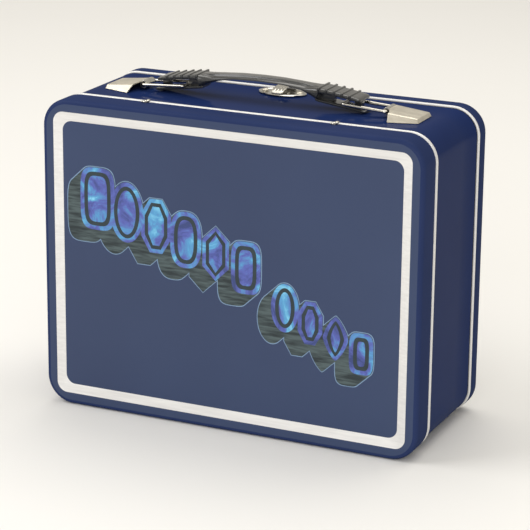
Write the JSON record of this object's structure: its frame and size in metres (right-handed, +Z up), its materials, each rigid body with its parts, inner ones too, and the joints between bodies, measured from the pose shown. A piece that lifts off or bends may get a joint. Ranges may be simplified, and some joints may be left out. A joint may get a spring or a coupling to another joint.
{
  "type": "metal lunch box",
  "caption": "Flat rectangular tinplate lunch box with rounded corners, a framed front panel, a hinged lid, a hasp latch and a wire-hung carrying handle.",
  "frame": {"origin": "bottom centre of the whole box, on the surface it stands on", "axes": "+X to the right along the length, -Y out of the front face, +Y towards the hinged lid, +Z up"},
  "size_m": [0.222, 0.0944, 0.1876],
  "materials": {
    "navy_paint": "gloss enamel",
    "rim_metal": "satin",
    "panel_print": "satin print",
    "nickel_steel": "polished",
    "bright_wire": "polished",
    "black_plastic": "moulded satin"
  },
  "bodies": {
    "case": {"body_band": "navy_paint", "front_cover": "navy_paint", "front_rim_bead": "rim_metal", "front_art_panel": "panel_print", "hinge_left_body_leaf": "nickel_steel", "hinge_left_pin": "nickel_steel", "hinge_right_body_leaf": "nickel_steel", "hinge_right_pin": "nickel_steel", "latch_base_plate": "nickel_steel", "latch_rivet_left": "nickel_steel", "latch_rivet_right": "nickel_steel", "handle_bracket_left": "nickel_steel", "handle_bracket_right": "nickel_steel", "bail_clip_left": "nickel_steel", "bail_clip_right": "nickel_steel"},
    "lid": {"lid_cover": "navy_paint", "lid_rim_bead": "rim_metal", "lid_art_panel": "panel_print", "hinge_left_lid_leaf": "nickel_steel", "hinge_right_lid_leaf": "nickel_steel", "latch_lid_bracket": "nickel_steel", "lid_bracket_rivet_left": "nickel_steel", "lid_bracket_rivet_right": "nickel_steel", "latch_hasp_pin": "nickel_steel"},
    "hasp": {"latch_hasp": "nickel_steel"},
    "handle": {"handle_grip": "black_plastic"},
    "ring_left": {"handle_ring_left": "bright_wire"},
    "ring_right": {"handle_ring_right": "bright_wire"},
    "bail": {"bottle_bail": "bright_wire"}
  },
  "joints": [
    {"name": "lid_hinge", "type": "hinge", "parent": "case", "child": "lid", "pos_m": [0, 0.03365, 0.001], "axis": [-1, 0, 0], "range_deg": [0, 100]},
    {"name": "hasp_hinge", "type": "hinge", "parent": "lid", "child": "hasp", "pos_m": [0, 0.0352, 0.1763], "axis": [-1, 0, 0], "range_deg": [0, 120]},
    {"name": "handle_lift", "type": "slide", "parent": "case", "child": "handle", "axis": [0, 0, 1], "range_m": [0, 0.012]},
    {"name": "ring_left_hinge", "type": "hinge", "parent": "case", "child": "ring_left", "pos_m": [-0.072, 0.002, 0.1766], "axis": [0, -1, 0], "range_deg": [0, 30]},
    {"name": "ring_right_hinge", "type": "hinge", "parent": "case", "child": "ring_right", "pos_m": [0.072, 0.002, 0.1766], "axis": [0, 1, 0], "range_deg": [0, 30]},
    {"name": "bail_swing", "type": "hinge", "parent": "case", "child": "bail", "pos_m": [0, -0.034, 0.1694], "axis": [1, 0, 0], "range_deg": [-6, 88]}
  ],
  "couplings": [
    {"joint": "ring_left_hinge", "follows": "handle_lift", "rad_per_m": 42.5},
    {"joint": "ring_right_hinge", "follows": "handle_lift", "rad_per_m": 42.5}
  ]
}
